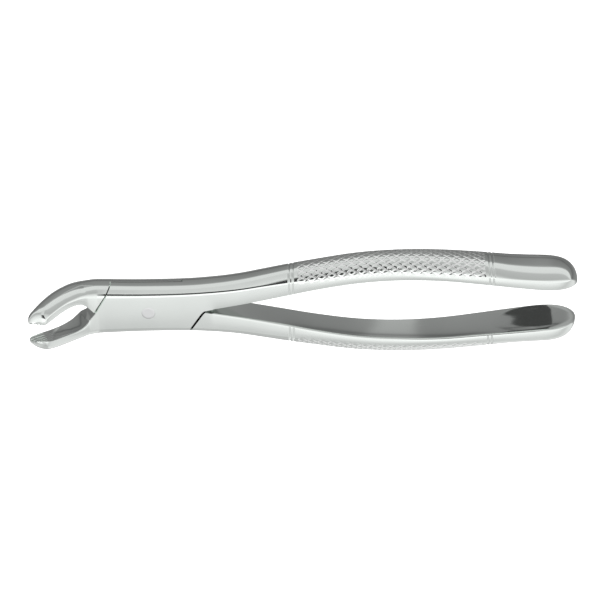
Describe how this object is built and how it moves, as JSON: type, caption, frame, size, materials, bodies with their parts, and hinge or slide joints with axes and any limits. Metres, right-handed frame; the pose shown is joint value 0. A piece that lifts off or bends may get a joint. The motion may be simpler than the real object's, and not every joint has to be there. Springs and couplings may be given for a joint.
{
  "type": "dental extraction forceps",
  "caption": "Tooth extraction forceps: two crossing polished steel halves on a flush pivot pin, bowed knurled handles, and hollow beaks curved out of the handles' plane.",
  "frame": {"origin": "on the pivot pin's axis, at the flush underside of the joint, as the forceps lie on a tray", "axes": "+X from the joint to the handle ends, +Y towards the upper handle, +Z along the pin's axis, the way the beaks curve up"},
  "size_m": [0.1706, 0.0356, 0.0229],
  "materials": {
    "polished_steel": "mirror polished stainless steel",
    "ground_steel": "ground flush and polished"
  },
  "bodies": {
    "upper_half": {"upper_handle_half": "polished_steel", "pivot_pin": "ground_steel"},
    "lower_half": {"lower_handle_half": "polished_steel"}
  },
  "joints": [
    {"name": "pivot_hinge", "type": "hinge", "parent": "upper_half", "child": "lower_half", "pos_m": [0, 0, 0.0047], "axis": [0, 0, -1], "range_deg": [-1.2, 30]}
  ]
}
